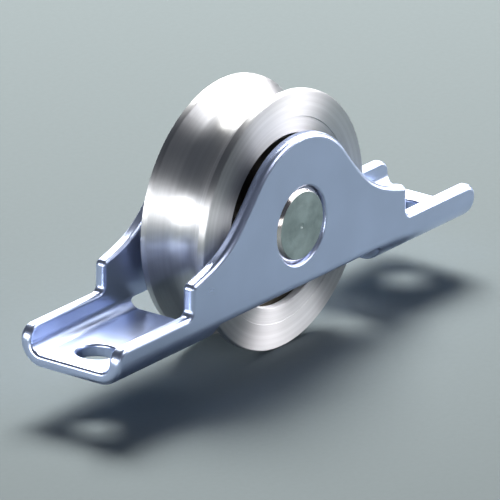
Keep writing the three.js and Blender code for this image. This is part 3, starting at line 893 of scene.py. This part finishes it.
class ROLLER_OT_cage(BuildOperator, bpy.types.Operator):
    """Builds the two pressed cage halves and the rivets that join them"""
    bl_idname = "roller.cage"
    bl_label = "Ball Cage"

    def execute(self, context):
        for side_name, side in (("front", -1), ("back", 1)):
            self.add_half(settings().bearing, f"cage_{side_name}", side)
        for i in range(BALL_COUNT):
            self.add_rivet(f"cage_rivet_{i + 1}")
        return {"FINISHED"}

    def wave(self, s, steps=14):
        """The strip's path round the ring, as (angle, height): flats between round pockets."""
        lowest = math.asin(CAGE_LOW.y / s.pocket_radius)
        points = []
        for i in range(BALL_COUNT):
            centre = QUARTER_TURN + i * FULL_TURN / BALL_COUNT
            for k in range(steps + 1):
                turned = math.pi - lowest - (math.pi - 2 * lowest) * k / steps
                along = s.pocket_radius * math.cos(turned) / s.pitch_radius
                points.append((centre + along, s.pocket_radius * math.sin(turned)))
        return points

    def add_half(self, s, node, side):
        inner, outer = s.cage_inner, CAGE_HIGH.x
        blunted_edge, sharpest = 0.08 * MM, math.radians(60)
        bm = bmesh.new()
        path = [bm.verts.new((inner * math.cos(a), height, inner * math.sin(a)))
                for a, height in self.wave(s)]
        ring = [bm.edges.new((path[i], path[(i + 1) % len(path)])) for i in range(len(path))]
        spread = bmesh.ops.extrude_edge_only(bm, edges=ring)["geom"]
        rim = [item for item in spread if isinstance(item, bmesh.types.BMVert)]
        bmesh.ops.scale(bm, verts=rim, vec=(outer / inner, 1, outer / inner))
        bmesh.ops.recalc_face_normals(bm, faces=bm.faces)
        if sum(face.normal.y for face in bm.faces) > 0:
            bmesh.ops.reverse_faces(bm, faces=bm.faces)
        bmesh.ops.solidify(bm, geom=bm.faces[:], thickness=s.cage_thickness)
        edges = [e for e in bm.edges if e.calc_face_angle(0) > sharpest]
        bmesh.ops.bevel(bm, geom=edges, offset=blunted_edge, offset_type="OFFSET", segments=1,
                        profile=0.5, affect="EDGES", material=-1)
        if side < 0:
            bmesh.ops.rotate(bm, verts=bm.verts, cent=(0, 0, 0),
                             matrix=Matrix.Rotation(math.pi, 3, "Z"))
        bmesh.ops.translate(bm, verts=bm.verts, vec=AXLE_CENTRE)
        finish_piece(f"{node}_half", bm, node)

    def add_rivet(self, node):
        low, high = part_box(node)
        centre, half = (low + high) / 2, (high - low) / 2
        shank, head, dome = 0.45 * MM, 0.4 * MM, 0.35 * MM
        neck = half.y - head
        turned_piece(f"{node}_pin", node, [
            (0, -half.y), (half.x, -half.y, dome), (half.x, -neck), (shank, -neck),
            (shank, neck), (half.x, neck), (half.x, half.y, dome), (0, half.y),
        ], segments=24, centre=centre)


class ROLLER_OT_shields(BuildOperator, bpy.types.Operator):
    """Builds the bearing's two dust shields"""
    bl_idname = "roller.shields"
    bl_label = "Shields"

    def execute(self, context):
        s = settings().bearing
        rim, outside, drop = SHIELD_HIGH.x, SHIELD_HIGH.y, 0.25 * MM
        inside = outside - s.shield_thickness
        step = s.shield_inner + 0.9 * MM
        edge, bend = 0.1 * MM, 0.2 * MM
        corners = [
            (s.shield_inner, inside - drop, edge), (step, inside - drop, bend),
            (step + drop, inside, bend), (rim, inside, edge), (rim, outside, edge),
            (step, outside, bend), (step - drop, outside - drop, bend),
            (s.shield_inner, outside - drop, edge),
        ]
        turned_piece("dust_shield_back", "shield_back", corners, s.segments)
        turned_piece("dust_shield_front", "shield_front", mirrored(corners), s.segments)
        return {"FINISHED"}


class ROLLER_OT_spacers(BuildOperator, bpy.types.Operator):
    """Builds the collars that keep the wheel clear of the cheeks"""
    bl_idname = "roller.spacers"
    bl_label = "Spacers"

    def execute(self, context):
        bore, rim = AXLE_HIGH.x + AXLE_GAP, SPACER_HIGH.x
        bore_edge, bearing_edge, cheek_edge = 0.15 * MM, 0.2 * MM, 0.45 * MM
        corners = [
            (bore, SPACER_LOW.y, bore_edge), (rim, SPACER_LOW.y, bearing_edge),
            (rim, SPACER_HIGH.y, cheek_edge), (bore, SPACER_HIGH.y, bore_edge),
        ]
        turned_piece("spacer_collar_back", "spacer_back", corners, segments=120)
        turned_piece("spacer_collar_front", "spacer_front", mirrored(corners), segments=120)
        return {"FINISHED"}


class ROLLER_OT_retaining_ring(BuildOperator, bpy.types.Operator):
    """Builds the internal circlip with its two plier eyes"""
    bl_idname = "roller.retaining_ring"
    bl_label = "Retaining Ring"

    def execute(self, context):
        outer, inner, lug, eye = CLIP_HIGH.x, 16 * MM, 1.6 * MM, 0.7 * MM
        half_gap = math.radians(13)
        lug_turn = lug / inner
        band_turn = 2.2 * lug_turn      # from the gap to where the lug meets the band
        back_of_lug = 0.45 * math.pi    # the same place, from straight inward at the lug's centre
        outer_steps, inner_steps, eye_steps = 120, 100, 24
        start, end = QUARTER_TURN + half_gap, QUARTER_TURN + FULL_TURN - half_gap
        start_lug, end_lug = start + lug_turn, end - lug_turn

        def lug_arc(angle, first, last, radius=lug, steps=16):
            return arc_points(inner * math.cos(angle), inner * math.sin(angle), radius,
                              angle + first, angle + last, steps)

        bm = bmesh.new()
        self.add_loop(bm, [
            *arc_points(0, 0, outer, start, end, outer_steps),
            *lug_arc(end_lug, QUARTER_TURN, math.pi + back_of_lug),
            *arc_points(0, 0, inner, end - band_turn, start + band_turn, inner_steps),
            *lug_arc(start_lug, math.pi - back_of_lug, FULL_TURN - QUARTER_TURN),
        ])
        for angle in (start_lug, end_lug):
            self.add_loop(bm, lug_arc(angle, 0, FULL_TURN, eye, eye_steps)[:-1])
        bmesh.ops.triangle_fill(bm, edges=bm.edges[:], use_beauty=True)
        raised = bmesh.ops.extrude_face_region(bm, geom=bm.faces[:])["geom"]
        tops = [item for item in raised if isinstance(item, bmesh.types.BMVert)]
        bmesh.ops.translate(bm, verts=tops, vec=(0, CLIP_HIGH.y - CLIP_LOW.y, 0))
        place = Vector((AXLE_CENTRE.x, CLIP_LOW.y, AXLE_CENTRE.z))
        bmesh.ops.translate(bm, verts=bm.verts, vec=place)
        finish_piece("circlip", bm, "retaining_ring")
        return {"FINISHED"}

    def add_loop(self, bm, points):
        vertices = [bm.verts.new((x, 0, z)) for x, z in points]
        for i, vertex in enumerate(vertices):
            bm.edges.new((vertex, vertices[(i + 1) % len(vertices)]))


# ---------------------------------------------------------------- panel and registration

class RollerSettings(bpy.types.PropertyGroup):
    """All sizes, finishes and stage settings of the roller."""
    frame: PointerProperty(name="Channel", description="Sizes of the pressed channel",
                           type=RollerFrameSizes)
    wheel: PointerProperty(name="Wheel", description="Sizes of the grooved wheel",
                           type=RollerWheelSizes)
    bearing: PointerProperty(name="Bearing", description="Sizes inside the ball bearing",
                             type=RollerBearingSizes)
    finishes: PointerProperty(name="Finishes", description="Colours and roughness of the metals",
                              type=RollerFinishes)
    stage: PointerProperty(name="Stage", description="Camera, floor and room light",
                           type=RollerStageSettings)


BUILD_STEPS = (
    ROLLER_OT_stage, ROLLER_OT_channel, ROLLER_OT_wheel, ROLLER_OT_axle, ROLLER_OT_bearing_rings,
    ROLLER_OT_balls, ROLLER_OT_cage, ROLLER_OT_shields, ROLLER_OT_spacers,
    ROLLER_OT_retaining_ring,
)


class ROLLER_PT_build(bpy.types.Panel):
    """Lists the steps that build the roller"""
    bl_idname = "ROLLER_PT_build"
    bl_label = "Sliding Door Roller"
    bl_space_type = "VIEW_3D"
    bl_region_type = "UI"
    bl_category = "Roller"

    def draw(self, context):
        for step in BUILD_STEPS:
            self.layout.operator(step.bl_idname)


CLASSES = (
    RollerFrameSizes, RollerWheelSizes, RollerBearingSizes, RollerFinishes, RollerStageSettings,
    RollerSettings, *BUILD_STEPS, ROLLER_PT_build,
)


def register():
    for cls in CLASSES:
        bpy.utils.register_class(cls)
    bpy.types.Scene.roller = PointerProperty(type=RollerSettings)


def unregister():
    del bpy.types.Scene.roller
    for cls in reversed(CLASSES):
        bpy.utils.unregister_class(cls)


def main():
    register()
    for step in BUILD_STEPS:
        group, name = step.bl_idname.split(".")
        getattr(getattr(bpy.ops, group), name)()


if __name__ == "__main__":
    main()
